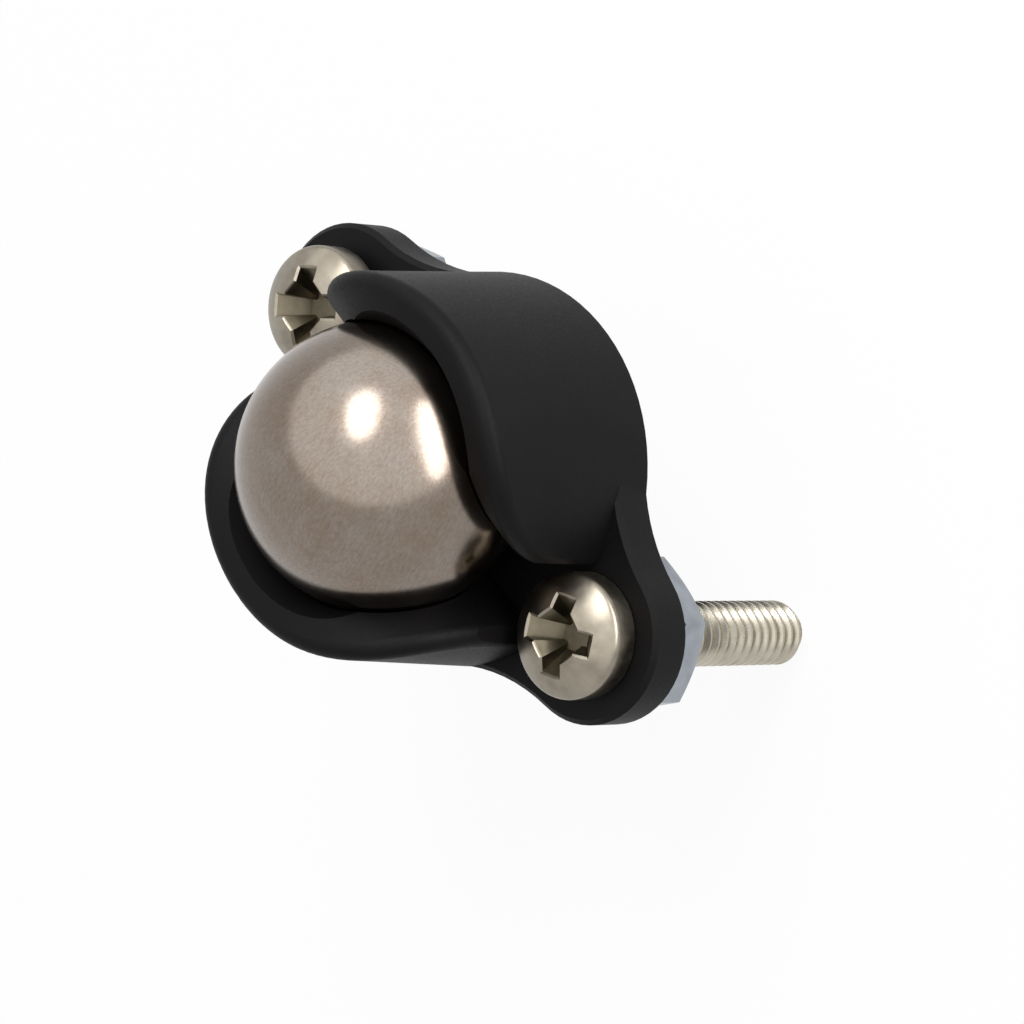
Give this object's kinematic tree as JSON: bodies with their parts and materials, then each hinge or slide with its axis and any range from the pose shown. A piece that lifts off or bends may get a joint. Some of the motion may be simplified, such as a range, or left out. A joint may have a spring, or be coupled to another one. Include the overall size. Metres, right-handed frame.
{
  "type": "ball castor",
  "caption": "Low ball castor: a moulded black cup with split lobes traps a steel ball that rolls freely; its eared base carries pan-head screws and hexagon nuts for fixing.",
  "frame": {"origin": "middle of the flat mounting face, halfway between the screw axes", "axes": "+Z out of the mounting face through the ball, +X along the line of the ears, +Y through the middle of one lobe"},
  "size_m": [0.0208, 0.013, 0.0198],
  "materials": {
    "moulded_abs": "satin moulded black",
    "ball_steel": "polished, finely scuffed",
    "nickel_plated_steel": "bright nickel plate",
    "zinc_plated_steel": "bright zinc plate, bluish"
  },
  "bodies": {
    "housing": {"housing": "moulded_abs", "left_screw": "nickel_plated_steel", "right_screw": "nickel_plated_steel", "left_nut": "zinc_plated_steel", "right_nut": "zinc_plated_steel"},
    "ball": {"ball": "ball_steel"}
  },
  "joints": [
    {"name": "ball_roll", "type": "hinge", "parent": "housing", "child": "ball", "pos_m": [0, 0, 0.0055], "axis": [1, 0, 0], "continuous": true}
  ]
}
